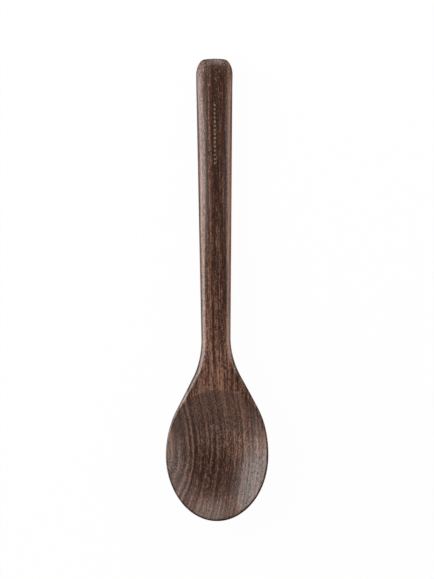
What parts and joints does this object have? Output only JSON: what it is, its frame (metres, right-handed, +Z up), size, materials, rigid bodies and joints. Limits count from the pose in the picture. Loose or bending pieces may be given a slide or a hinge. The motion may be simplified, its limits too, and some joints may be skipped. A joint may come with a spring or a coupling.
{
  "type": "wooden spoon",
  "caption": "One-piece carved wooden serving spoon: oval hollowed bowl, flat-topped neck and slightly tapered oval handle with a rounded end.",
  "frame": {"origin": "on the table, under the middle of the spoon's overall length and width", "axes": "+Y along the spoon from the bowl's tip to the handle's end, +X to the right seen from above with the handle up, +Z up out of the hollow"},
  "size_m": [0.0664, 0.3, 0.0185],
  "materials": {
    "wood": "dark ring-porous wood, sanded and oiled to a satin"
  },
  "bodies": {
    "root": {"spoon": "wood"}
  },
  "joints": []
}
